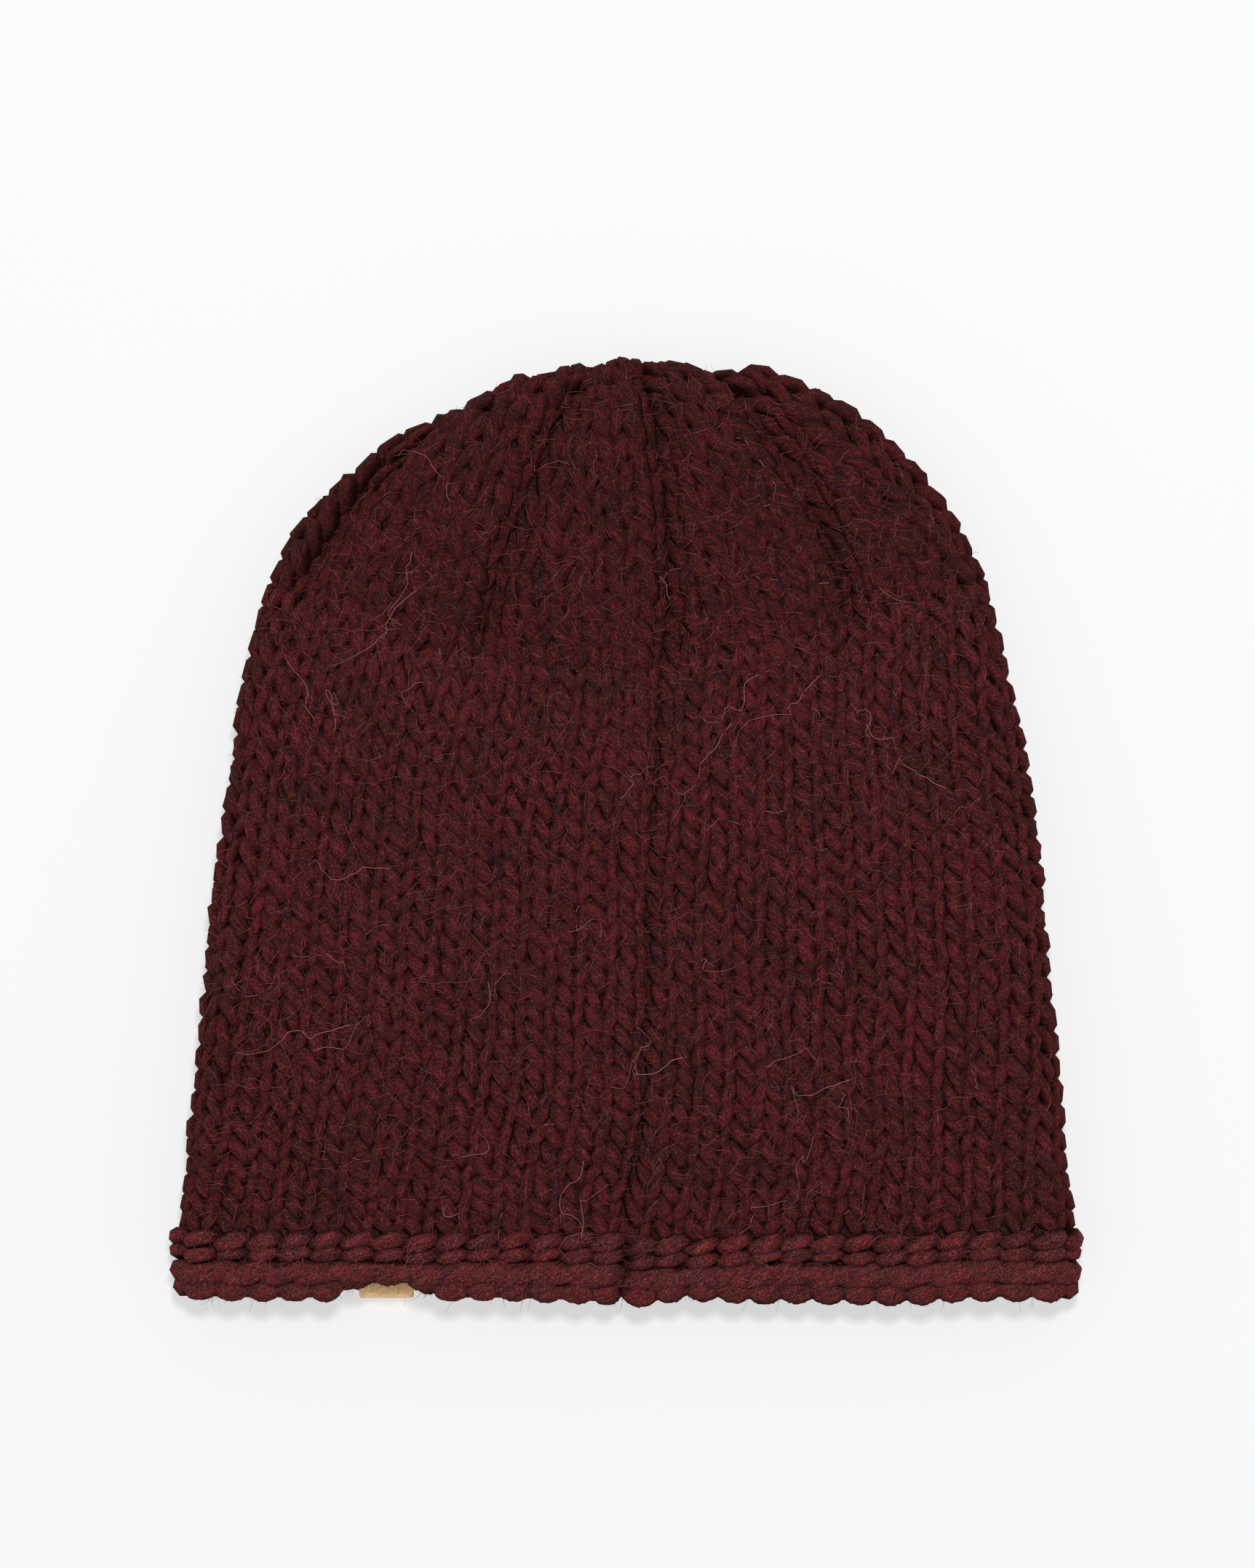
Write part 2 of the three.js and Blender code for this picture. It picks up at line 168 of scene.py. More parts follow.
tab = {
    "middle": -64.75,
    "width": 14.5,
    "thick": 1.2,
    "height": 9.8,
    "fold": 2.3,
    "leg": 18.4,
    "ragged": 0.12,
    "columns": 14,
    "legRows": 12,
    "bendRows": 16,
    "seed": 4,
    # the under layer's yarn is pressed together between the two legs
    "squeeze": {"from": 4, "to": 0.5, "under": 13, "reach": 23, "share": 0.5, "thinner": 0.3},
}

gapAboveFloor = 0.1

# Tables and lines

def toY(rise):
    return rise - hat["length"] / 2

def lookUp(rows, column, at):
    return np.interp(at, [row[0] for row in rows], [row[column] for row in rows])

def lineThrough(points, steps=24):
    known = [np.array(p, float) for p in points]
    known = [2 * known[0] - known[1], *known, 2 * known[-1] - known[-2]]
    line = []
    for p0, p1, p2, p3 in zip(known, known[1:], known[2:], known[3:]):
        gaps = [math.sqrt(np.linalg.norm(b - a)) for a, b in ((p0, p1), (p1, p2), (p2, p3))]
        t0, t1, t2, t3 = 0, gaps[0], gaps[0] + gaps[1], sum(gaps)
        t = np.linspace(t1, t2, steps, endpoint=False)[:, None]
        a1 = (t1 - t) / (t1 - t0) * p0 + (t - t0) / (t1 - t0) * p1
        a2 = (t2 - t) / (t2 - t1) * p1 + (t - t1) / (t2 - t1) * p2
        a3 = (t3 - t) / (t3 - t2) * p2 + (t - t2) / (t3 - t2) * p3
        b1 = (t2 - t) / (t2 - t0) * a1 + (t - t0) / (t2 - t0) * a2
        b2 = (t3 - t) / (t3 - t1) * a2 + (t - t1) / (t3 - t1) * a3
        line.extend((t2 - t) / (t2 - t1) * b1 + (t - t1) / (t2 - t1) * b2)
    line.append(known[-2])
    return np.array([(x, toY(rise)) for x, rise in line])

def distances(points):
    return np.concatenate([[0], np.cumsum(np.linalg.norm(np.diff(points, axis=0), axis=1))])

def along(line, part):
    lengths = distances(line)
    at = np.clip(part, 0, 1) * lengths[-1]
    return np.stack([np.interp(at, lengths, line[:, 0]), np.interp(at, lengths, line[:, 1])], -1)

lines = {name: lineThrough(hat[name]) for name in ("leftFold", "rightFold", "seam", "front")}

# Both folds as one line, up the left one and down the right one, carried on past the brim
pastBrim = (0, 60)
foldParts = np.linspace(0, 1, 90)
foldLine = np.vstack([
    lines["leftFold"][:1] - pastBrim, along(lines["leftFold"], foldParts),
    along(lines["rightFold"], foldParts[::-1])[1:], lines["rightFold"][:1] - pastBrim,
])
foldLengths = distances(foldLine)
apexAt = foldLengths[len(foldParts)]

def fromFold(points):
    starts, steps = foldLine[:-1], np.diff(foldLine, axis=0)
    lengths = np.linalg.norm(steps, axis=1)
    found = []
    for block in np.array_split(points, max(1, len(points) // 4000)):
        away = block[:, None] - starts
        part = np.clip((away * steps).sum(-1) / lengths**2, 0, 1)
        feet = starts + part[..., None] * steps
        apart = np.linalg.norm(block[:, None] - feet, axis=-1)
        nearest = apart.argmin(1)
        rows = np.arange(len(block))
        inward = np.stack([steps[nearest, 1], -steps[nearest, 0]], -1) / lengths[nearest, None]
        foot = feet[rows, nearest]
        inside = ((block - foot) * inward).sum(-1)
        distance = np.where(inside >= 0, apart[rows, nearest], -apart[rows, nearest])
        at = foldLengths[nearest] + part[rows, nearest] * lengths[nearest]
        found.append(np.column_stack([distance, at, inward, foot]))
    found = np.vstack(found)
    return found[:, 0], found[:, 1], found[:, 2:4], found[:, 4:6]

def thickness(y):
    rise = y + hat["length"] / 2
    floor, top = lookUp(hat["heights"], 1, rise), lookUp(hat["heights"], 2, rise)
    return (top + floor) / 2, (top - floor) / 2

def onSac(plan, layer):
    distance, at, inward, foot = fromFold(plan)
    middle, half = thickness(plan[:, 1])
    flat = np.maximum(0, distance - half)
    turn = np.arccos(1 - np.clip(distance / half, 0, 1))
    reach = -layer * (flat + half * turn)
    near = ((at - apexAt) / hat["gatherAlong"]) ** 2 + (reach / hat["gatherIn"]) ** 2
    moved = reach + hat["gatherOver"] * np.exp(-near)
    turn = np.minimum(abs(moved) / half, math.pi / 2)
    flat = abs(moved) - half * turn
    inset = hat["middleInset"]
    place = foot + inward * (half + flat - (half - inset) * np.cos(turn))[:, None]
    middle, half = thickness(place[:, 1])
    height = middle - np.sign(moved) * (half - inset) * np.sin(turn)
    for x, rise, size, depth in hat["hollows"]:
        apart = np.hypot(place[:, 0] - x, place[:, 1] - toY(rise)) / size
        fade = np.clip((abs(moved) - hat["hollowFrom"]) / hat["hollowFade"], 0, 1)
        height -= np.where(moved < 0, depth * np.exp(-apart**2) * fade, 0)
    return np.column_stack([place, height])

# Rows of the knit, from the edge of the brim (part below 0) to the apex (part 1)

seamLength = distances(lines["seam"])[-1]

def rowLayer(part, across, layer):
    body = max(part, 0)
    shape = [float(lookUp(hat["rowShapes"], column, body)) for column in (1, 2, 3, 4)]
    middle = along(lines["seam"] if layer > 0 else lines["front"], body)
    ends = along(lines["leftFold"], shape[0]), along(lines["rightFold"], shape[1])
    end = np.where((across < 0)[:, None], *ends)
    k = abs(across)
    bend = (hat["bendAtBrim"] + (1 - hat["bendAtBrim"]) * body**3) * math.pi / 2
    run = np.sin(k * bend) / math.sin(bend)
    curve = (1 - np.cos(k * bend)) / (1 - math.cos(bend))
    up = np.where(across > 0, shape[3] * k + (1 - shape[3]) * curve, curve)
    sag = np.where((across < 0) & (layer > 0), shape[2] * k * (1 - k), 0)
    plan = middle + (end - middle) * np.stack([run, up], -1)
    plan[:, 1] -= sag - min(part, 0) * seamLength
    return onSac(plan, layer)

def ring(part, count, steps=60):
    t = np.sin(np.linspace(0, 1, steps) * math.pi / 2)
    quarters = [
        rowLayer(part, t, 1), rowLayer(part, t[::-1], -1)[1:],
        rowLayer(part, -t, -1)[1:], rowLayer(part, -t[::-1], 1)[1:],
    ]
    points = np.vstack(quarters)
    lengths = distances(points)
    at = np.linspace(0, lengths[-1], count, endpoint=False)
    return np.stack([np.interp(at, lengths, points[:, i]) for i in range(3)], -1), lengths[-1]

def partsUp(last, count):
    return 1 - (1 - np.linspace(0, last, count)) ** hat["apexCrowding"]

ringPoints = knit["stitchesRound"] * 8
lowest = -hat["brimHeight"] / seamLength
rowParts = np.concatenate([np.linspace(lowest, 0, 10, endpoint=False), partsUp(0.9985, 110)])
rings = [ring(part, ringPoints) for part in rowParts]
grid = np.array([points for points, _ in rings])
roundLength = np.array([length for _, length in rings])

def unit(vectors):
    return vectors / np.maximum(np.linalg.norm(vectors, axis=-1, keepdims=True), 1e-9)

acrossGrid = unit(np.roll(grid, -1, 1) - np.roll(grid, 1, 1))
upGrid = unit(np.gradient(grid, axis=0))
outGrid = unit(np.cross(acrossGrid, upGrid))

def sample(values, part, turn):
    row = np.interp(part, rowParts, np.arange(len(rowParts)))
    column = (turn % 1) * ringPoints
    low, left = np.clip(row.astype(int), 0, len(rowParts) - 2), column.astype(int) % ringPoints
    high, right = low + 1, (left + 1) % ringPoints
    fr, fc = (row - low)[:, None], (column - np.floor(column))[:, None]
    return (values[low, left] * (1 - fr) * (1 - fc) + values[low, right] * (1 - fr) * fc
            + values[high, left] * fr * (1 - fc) + values[high, right] * fr * fc)

def onKnit(part, turn, out):
    outward = unit(sample(outGrid, part, turn))
    return sample(grid, part, turn) + outward * out[:, None], outward

print("surface of the knit done")

# Yarns: each is a closed line of places with a radius

quarter = 0.25  # of a turn: the upper layer is within this of the seam

def smooth(low, high, x):
    t = np.clip((x - low) / (high - low), 0, 1)
    return t * t * (3 - 2 * t)

def aboveFloor(places, radius):
    places[:, 2] = np.maximum(places[:, 2], radius + gapAboveFloor)
    return places

def coursePart(course):
    return lookUp(knit["courseRise"], 1, course) / seamLength

def wedgeEdges(course):
    if course < knit["wedgeStitches"][0][0]:
        return None
    wanted = float(lookUp(knit["wedgeStitches"], 1, course))
    count = max(1, round(wanted))
    # columns run parallel to the wedge's right edge, and the last two share what is left of it
    even = max(0, count - 2)
    edges = [1 - j / wanted for j in range(even + 1)]
    edges += list(np.linspace(edges[-1], 0, count - even + 1)[1:])
    return np.array(edges[::-1])

def courseEdges(course):
    inWedge = wedgeEdges(course)
    if inWedge is None:
        return np.arange(knit["stitchesRound"] + 1) / knit["stitchesRound"]
    wedges = [(w + inWedge[:-1]) / knit["wedges"] for w in range(knit["wedges"])]
    return np.concatenate([*wedges, [1.0]])

def beforeApex(part):
    return 1 - smooth(*knit["decreaseTo"], part)

def fromLine(part, turn):
    # how far along the row the nearest decrease line is, and how much of a groove it has there
    every = 1 / knit["wedges"]
    nearest = np.round(turn / every)
    away = (turn - every * nearest) * np.interp(part, rowParts, roundLength)
    isSeam = nearest % knit["wedges"] == 0
    return away, isSeam, smooth(*knit["decreaseFrom"], part) * beforeApex(part)

def grooveDepth(part, turn):
    away, isSeam, shaped = fromLine(part, turn)
    groove = knit["decreaseGroove"] * shaped * np.exp(-(away / knit["decreaseReach"]) ** 2)
    seam = knit["seamGroove"] * np.exp(-(away / knit["seamReach"]) ** 2) * beforeApex(part)
    return np.where(isSeam, np.maximum(groove, seam), groove)

def grooveOnTop(part, turn):
    # a groove is shallow where the knit folds over at the outline
    facing = abs(unit(sample(outGrid, part, turn))[:, 2])
    least = knit["grooveAtFold"]
    return grooveDepth(part, turn % 1) * (least + (1 - least) * smooth(*knit["foldFacing"], facing))

def openGap(part, turn):
    away, isSeam, shaped = fromLine(part, turn)
    gap = knit["seamGap"] * np.where(isSeam, beforeApex(part), shaped)
    near, far = knit["gapReach"]
    moved = np.sign(away) * gap * (1 - np.exp(-(away / near) ** 2)) * np.exp(-(away / far) ** 2)
    return turn + moved / np.interp(part, rowParts, roundLength)

def fromSeam(part, turn):
    side = (turn + 0.5) % 1 - 0.5
    return side, side * np.interp(part, rowParts, roundLength)

def seamDrop(part, turn):
    # the rows step down across the seam at the brim, more on its right
    drop = band["seamDrop"]
    side, around = fromSeam(part, turn)
    lowered = np.where(side > 0, drop["right"] * np.exp(-around / drop["rightReach"]),
                       drop["left"] * np.exp(around / drop["leftReach"]))
    return lowered * (abs(side) < quarter)

def drifts(rng):
    waves = [
        (rng.integers(2, 12), rng.uniform(0.15, 0.8), rng.uniform(0, 7), rng.uniform(0.4, 1))
        for _ in range(10)
    ]

    def drift(turn, course):
        total = sum(size * np.sin(2 * math.pi * count * turn + pace * course + start)
                    for count, pace, start, size in waves)
        return total / 2.2
    return drift

def courseYarn(course, rng, sideDrift, upDrift):
    edges = courseEdges(course)
    uneven = knit["uneven"]
    path = []
    for left, right in zip(edges[:-1], edges[1:]):
        middle, width = (left + right) / 2, right - left
        isBelow = quarter < middle < 1 - quarter
        steps = knit["stepsBelow"] if isBelow else knit["stepsAbove"]
        t = np.linspace(-math.pi, math.pi, steps, endpoint=False)
        vary = rng.uniform(-1, 1, 8)
        front = (1 - np.cos(2 * t)) / 2
        isLeft = t < 0
        lean = np.where(isLeft, knit["leanLeft"] * (1 + uneven["lean"] * vary[0]),
                        knit["leanRight"] * (1 + uneven["lean"] * vary[1]))
        up = knit["loopHeight"] * np.cos(t) * (1 + uneven["height"] * vary[2])
        up += uneven["up"] * vary[3] * front
        x = t / (2 * math.pi) + lean * np.sin(2 * t)
        x += uneven["across"] * vary[4] * front - knit["skew"] * up
        legs = np.where(isLeft, knit["legRadiusLeft"] * (1 + uneven["radius"] * vary[5]),
                        knit["legRadiusRight"] * (1 + uneven["radius"] * vary[6]))
        radius = knit["backRadius"] + (legs - knit["backRadius"]) * front
        out = knit["outward"] + knit["depth"] * (2 * front - 1) + uneven["out"] * vary[7] * front
        path.append(np.column_stack([middle + x * width, course + up, out, radius]))
    path = np.vstack(path)
    turn, course = path[:, 0], path[:, 1]
    drift = knit["drift"]
    turn = turn + drift["across"] * sideDrift(turn, course) / knit["stitchesRound"]
    course = course + drift["up"] * upDrift(turn, course) * smooth(0, drift["from"], course)
    part = np.where(course < 0, course * knit["lowestCourse"] / seamLength, coursePart(course))
    part = part - seamDrop(part, turn) * (1 - smooth(0, band["seamDrop"]["fadeAbove"], part)) / seamLength
    places, outward = onKnit(part, openGap(part, turn), path[:, 2] - grooveOnTop(part, turn))
    stitchWidth = np.interp(part, rowParts, roundLength) * np.diff(edges).mean()
    size = np.clip(stitchWidth / knit["fullWidth"], 0.5, 1)
    size = size * (1 + (knit["crownSize"] - 1) * smooth(*knit["decreaseFrom"], part))
    radius = path[:, 3] * size * (1 + uneven["lumps"] * rng.uniform(-1, 1, len(path)))
    return aboveFloor(places, radius), radius, outward

def wander(rise, places):
    blend = smooth(-3, 3, places[:, 2] - hat["middleHeight"])
    lift = blend * lookUp(band["edgeLine"], 1, places[:, 0]) + (1 - blend) * band["underLift"]
    places[:, 1] += lift * np.clip(1 - rise / band["edgeFade"], 0, 1)
    return places

def squeezeAtTab(places, radius):
    squeeze, reach = tab["squeeze"], tab["width"] / 2
    near = smooth(reach + squeeze["from"], reach + squeeze["to"], abs(places[:, 0] - tab["middle"]))
    near = near * (places[:, 2] < squeeze["under"]) * (places[:, 1] < toY(squeeze["reach"]))
    centre = tab["height"] / 2
    places[:, 2] += near * (centre - places[:, 2]) * squeeze["share"]
    return places, radius * (1 - squeeze["thinner"] * near)

def bandYarn(rise, turn, out, radius):
    part = (rise - hat["brimHeight"]) / seamLength
    _, around = fromSeam(part, turn)
    pinch = band["pinch"]
    near = np.exp(-((around - pinch["slant"] * (rise - pinch["at"])) / pinch["width"]) ** 2)
    dropped = seamDrop(part, turn) * smooth(0, band["seamDrop"]["fadeBelow"], rise)
    lifted = band["wobble"] * bandDrift(turn, 0) - dropped
    places, outward = onKnit(part + lifted / seamLength, turn, out - pinch["depth"] * near)
    places = wander(rise, places)
    bulge = pinch["bulge"] * np.exp(-((around - pinch["bulgeAt"]) / pinch["bulgeWidth"]) ** 2)
    places, radius = squeezeAtTab(places, radius * (1 - pinch["thinner"] * near + bulge))
    radius = radius * np.ones(len(turn))
    return aboveFloor(places, radius), radius, outward

def unevenRound(rng, count):
    waves = [(rng.integers(7, 70), rng.uniform(0, 7), rng.uniform(0.3, 1)) for _ in range(9)]
    steps = np.linspace(0, 1, count, endpoint=False)
    return sum(size * np.sin(2 * math.pi * pace * steps + start) for pace, start, size in waves) / 2.5

def purlYarn(row, rng):
    count, steps, uneven = knit["stitchesRound"], band["steps"], band["purlUneven"]
    t = np.tile(np.linspace(-math.pi, math.pi, steps, endpoint=False), count)
    each = np.repeat(np.arange(count), steps)
    vary = rng.uniform(-1, 1, (4, count))[:, each]
    front = (1 + np.cos(t)) / 2
    reach = row["reach"] * (1 + uneven["reach"] * vary[0])
    turn = (each + 0.5 + t / (2 * math.pi) + reach * np.sin(t)) / count
    rise = row["rise"] + row["slant"] * np.sin(t) + uneven["rise"] * vary[1] * front
    out = row["out"] + row["depth"] * (np.cos(t) + uneven["out"] * vary[2] * front)
    radius = row["radius"] * (band["purlEnds"] + (1 - band["purlEnds"]) * front)
    radius = radius * (1 + uneven["radius"] * vary[3] * front)
    return bandYarn(rise, turn, out, radius * (1 + uneven["lumps"] * rng.uniform(-1, 1, len(t))))

def rollYarns(rng):
    roll, uneven = band["roll"], band["rollUneven"]
    total = knit["stitchesRound"] * band["steps"]
    steps = np.linspace(0, 1, total, endpoint=False)
    wobble = unevenRound(rng, total)
    turns = round(roll["turns"] * knit["stitchesRound"])
    strands = []
    for side in (0, 1):
        angle = math.pi * (2 * turns * steps + side) + uneven["turn"] * wobble
        rise = roll["rise"] + roll["apart"] * np.cos(angle) + uneven["rise"] * wobble
        out = roll["out"] + roll["flat"] * roll["apart"] * np.sin(angle)
        radius = roll["radius"] * (1 + uneven["radius"] * unevenRound(rng, total))
        strands.append(bandYarn(rise, steps, out, radius))
    return strands

def scallopYarn(rng):
    made, uneven = band["scallops"], band["scallopUneven"]
    count = knit["stitchesRound"]
    steps = np.linspace(0, 1, count * band["scallopSteps"], endpoint=False)
    size = np.interp(steps * count, np.arange(count + 1), rng.uniform(-1, 1, count + 1))
    bump = abs(np.sin(math.pi * count * steps)) ** made["roundness"]
    rise = made["rise"] - made["dip"] * (bump - 0.5) + uneven["rise"] * size
    radius = made["notch"] + (made["radius"] - made["notch"]) * bump + uneven["radius"] * size
    out = np.full_like(steps, made["out"])
    return bandYarn(rise, steps, out, radius * (1 + uneven["lumps"] * rng.uniform(-1, 1, len(steps))))

def innerYarn(row, rng):
    count, size = knit["stitchesRound"], band["innerWave"]
    steps = np.linspace(0, 1, count * band["innerSteps"], endpoint=False)
    wave = np.cos(2 * math.pi * count * steps + rng.uniform(0, 6))
    rise, out = row["rise"] + size["rise"] * wave, row["out"] + size["out"] * wave
    return bandYarn(rise, steps, out, row["radius"] * (1 + size["radius"] * wave))

rng = np.random.default_rng(knit["seed"])
sideDrift, upDrift = drifts(rng), drifts(rng)
courses = [courseYarn(course + 0.5, rng, sideDrift, upDrift) for course in range(knit["courses"])]
rng = np.random.default_rng(band["seed"])
bandDrift = drifts(rng)
bandYarns = [purlYarn(row, rng) for row in band["purls"]] + rollYarns(rng)
bandYarns += [scallopYarn(rng)] + [innerYarn(row, rng) for row in band["inner"]]
print("yarn paths done:", sum(len(places) for places, _, _ in courses + bandYarns), "points")

# Node trees, written as expressions

class Value:
    def __init__(self, graph, socket):
        self.graph = graph
        self.socket = socket

    def combine(self, operation, other, swapped=False):
        pair = (other, self) if swapped else (self, other)
        isVector = any(
            v.socket.type in ("VECTOR", "RGBA") if isinstance(v, Value) else isinstance(v, tuple) for v in pair)
        kind = "ShaderNodeVectorMath" if isVector else "ShaderNodeMath"
        if isVector:
            pair = [(v, v, v) if isinstance(v, (int, float)) else v for v in pair]
        return self.graph.add(kind, {"operation": operation}, {0: pair[0], 1: pair[1]})

    def __add__(self, other): return self.combine("ADD", other)
    def __sub__(self, other): return self.combine("SUBTRACT", other)
    def __rsub__(self, other): return self.combine("SUBTRACT", other, True)
    def __mul__(self, other): return self.combine("MULTIPLY", other)
    def __rmul__(self, other): return self.combine("MULTIPLY", other, True)

class Graph:
    def __init__(self, tree):
        self.tree = tree

    def add(self, kind, settings=None, inputs=None, output=None):
        node = self.tree.nodes.new(kind)
        for name, value in (settings or {}).items():
            setattr(node, name, value)
        for key, value in (inputs or {}).items():
            if isinstance(key, int):
                socket = node.inputs[key]
            else:
                socket = next(s for s in node.inputs if s.enabled and s.name == key)
            if isinstance(value, Value):
                self.tree.links.new(value.socket, socket)
            else:
                socket.default_value = value
        shown = [s for s in node.outputs if s.enabled and (output is None or s.name == output)]
        return Value(self, shown[0]) if shown else node

    def also(self, value, output):
        return Value(self, next(s for s in value.socket.node.outputs if s.enabled and s.name == output))

    def math(self, operation, a, b=0.0, c=0.0):
        return self.add("ShaderNodeMath", {"operation": operation}, {0: a, 1: b, 2: c})

    def ramp(self, value, low, high, newLow=0.0, newHigh=1.0):
        return self.add("ShaderNodeMapRange", {"interpolation_type": "SMOOTHSTEP"}, {
            "Value": value, "From Min": low, "From Max": high, "To Min": newLow, "To Max": newHigh})

    def named(self, name, kind="FLOAT"):
        return self.add("GeometryNodeInputNamedAttribute", {"data_type": kind}, {"Name": name}, "Attribute")

    def store(self, geometry, name, value, kind="FLOAT"):
        return self.add("GeometryNodeStoreNamedAttribute", {"data_type": kind, "domain": "POINT"}, {
            "Geometry": geometry, "Name": name, "Value": value})

    def blend(self, factor, a, b):
        return self.add("ShaderNodeMix", {"data_type": "RGBA"}, {"Factor": factor, "A": a, "B": b}, "Result")

    def noise(self, place, scale, detail=2.0, roughness=0.5, output=None):
        return self.add("ShaderNodeTexNoise", None, {
            "Vector": place, "Scale": scale, "Detail": detail, "Roughness": roughness}, output)

    def vector(self, x, y, z):
        return self.add("ShaderNodeCombineXYZ", None, {0: x, 1: y, 2: z})

def shapeTree(name, inputs):
    tree = bpy.data.node_groups.new(name, "GeometryNodeTree")
    tree.interface.new_socket("Geometry", in_out="INPUT", socket_type="NodeSocketGeometry")
    for inputName, kind in inputs:
        tree.interface.new_socket(inputName, in_out="INPUT", socket_type=kind)
    tree.interface.new_socket("Geometry", in_out="OUTPUT", socket_type="NodeSocketGeometry")
    graph = Graph(tree)
    start = tree.nodes.new("NodeGroupInput")
    sockets = {s.name: Value(graph, s) for s in start.outputs if s.name}
    return tree, graph, sockets

def finishTree(graph, geometry, material):
    geometry = graph.add("GeometryNodeRealizeInstances", None, {"Geometry": geometry})
    geometry = graph.add("GeometryNodeSetMaterial", None, {"Geometry": geometry, "Material": material})
    graph.add("NodeGroupOutput", None, {"Geometry": geometry})

def makePiece(name, mesh, tree, values):
    piece = bpy.data.objects.new(name, mesh)
    bpy.context.scene.collection.objects.link(piece)
    modifier = piece.modifiers.new("shape", "NODES")
    modifier.node_group = tree
    for item in tree.interface.items_tree:
        if item.item_type == "SOCKET" and item.in_out == "INPUT" and item.name in values:
            modifier[item.identifier] = values[item.name]
    bpy.context.view_layer.update()
    evaluated = piece.evaluated_get(bpy.context.evaluated_depsgraph_get())
    made = bpy.data.meshes.new_from_object(evaluated)
    piece.modifiers.remove(modifier)
    piece.data = made
    made.name = name
    return piece

# Colours and materials

def linear(colour):
    parts = [v / 255 for v in colour]
    return tuple(c / 12.92 if c <= 0.04045 else ((c + 0.055) / 1.055) ** 2.4 for c in parts)

def paint(colour):
    return (*linear(colour), 1.0)

wool = {
    "ground": (80, 28, 29),
    "crimson": (122, 37, 44),
    "olive": (56, 34, 27),
    "plum": (44, 23, 36),
    "rust": (136, 58, 36),
    "pink": (178, 112, 110),
    "noises": {  # pace along the yarn, start, pace across it, scale, detail, roughness
        "fibre": (0.55, 0.0, 1.5, 1.6, 4.0, 0.7),
        "hairs": (1.1, 20.0, 3.4, 2.0, 3.0, 0.7),
        "red": (0.4, 60.0, 0.9, 1.1, 4.0, 0.7),
        "brown": (0.35, 200.0, 0.8, 1.0, 4.0, 0.7),
        "violet": (0.08, 400.0, 0.4, 1.0, 3.0, 0.65),
        "fleck": (0.22, 900.0, 0.8, 1.0, 3.0, 0.6),
    },
    "tufts": [  # noise, where its colour begins and is full, share, colour
        ("red", 0.42, 0.6, 1.0, "crimson"), ("brown", 0.46, 0.58, 0.8, "olive"),
        ("violet", 0.55, 0.66, 0.85, "plum"), ("fleck", 0.63, 0.72, 0.75, "rust"),
    ],
    "patch": (42.0, 3.0, 0.6),  # scale, detail, roughness
    "patchShare": 0.3,
    "speck": (1900.0, 3.0, 0.75),
    "pale": (0.52, 0.68),
    "between": (96, 56, 50),  # painted shade: multiplies the colour on the sides of the yarn, standing for the shade in the crevices between stitches
    # where the painted shade on the yarn's sides fades out, by how far the surface faces out of the knit
    "paintedShadeFrom": (-0.1, 0.88),
    "shade": (0.32, 0.66, 0.3, 1.45),  # noise from and to, light from and to
    "twist": 0.25,  # radians a millimetre
    "bump": 1.0,
    "bumpDepth": 0.0012,
    "sheen": 0.06,
    "sheenTint": (190, 120, 120),
}

def woolMaterial(name, lighten, pale):
    material = bpy.data.materials.new(name)
    material.use_nodes = True
    tree = material.node_tree
    tree.nodes.clear()
    g = Graph(tree)
    place = g.add("ShaderNodeAttribute", {"attribute_name": "yarnPlace"}, output="Vector")
    run = g.add("ShaderNodeSeparateXYZ", None, {0: place})
    side, height = g.also(run, "Y"), g.also(run, "Z")
    turn = run * wool["twist"]
    cosine, sine = g.math("COSINE", turn), g.math("SINE", turn)
    y = side * cosine - height * sine
    z = side * sine + height * cosine
    # fibres lie along the twist, and each tuft of colour is longer than it is wide
    made = {}
    for noise, (pace, start, across, scale, detail, roughness) in wool["noises"].items():
        made[noise] = g.noise(g.vector(run * pace + start, y * across, z * across), scale, detail, roughness)
    spot = g.add("ShaderNodeTexCoord", None, None, "Object")
    patch, speck = g.noise(spot, *wool["patch"]), g.noise(spot, *wool["speck"])
    made["brown"] = made["brown"] * (1 - wool["patchShare"]) + patch * wool["patchShare"]
    colour = paint(wool["ground"])
    for noise, low, high, share, tuft in wool["tufts"]:
        colour = g.blend(g.ramp(made[noise], low, high, 0.0, share), colour, paint(wool[tuft]))
    colour = g.blend(g.ramp(made["hairs"], *wool["pale"], 0.0, pale), colour, paint(wool["pink"]))
    # painted shade: the sides of each yarn, facing away from the knit's outside, are darkened as if in the
    # crevices' shade
    outside = g.add("ShaderNodeAttribute", {"attribute_name": "outside"}, output="Fac")
    between = colour * paint(wool["between"])[:3]
    colour = g.blend(g.ramp(outside, *wool["paintedShadeFrom"]), between, colour)
    low, high, dark, light = wool["shade"]
    fibre = made["fibre"]
    # random fibre tone, scaled by lighten, which also carries the painted shade of the crown copy and the
    # painted light of the brim copy
    colour = colour * g.ramp(fibre * 0.5 + speck * 0.5, low, high, dark * lighten, light * lighten)
    height = fibre * 0.4 + made["hairs"] * 0.3 + speck * 0.3
    bump = g.add("ShaderNodeBump", None, {
        "Strength": wool["bump"], "Distance": wool["bumpDepth"], "Height": height})
    shader = g.add("ShaderNodeBsdfPrincipled", None, {
        "Base Color": colour, "Roughness": 0.95, "Normal": bump, "Sheen Weight": wool["sheen"],
        "Sheen Roughness": 0.5, "Sheen Tint": paint(wool["sheenTint"]), "Specular IOR Level": 0.03})
    g.add("ShaderNodeOutputMaterial", None, {"Surface": shader})
    return material

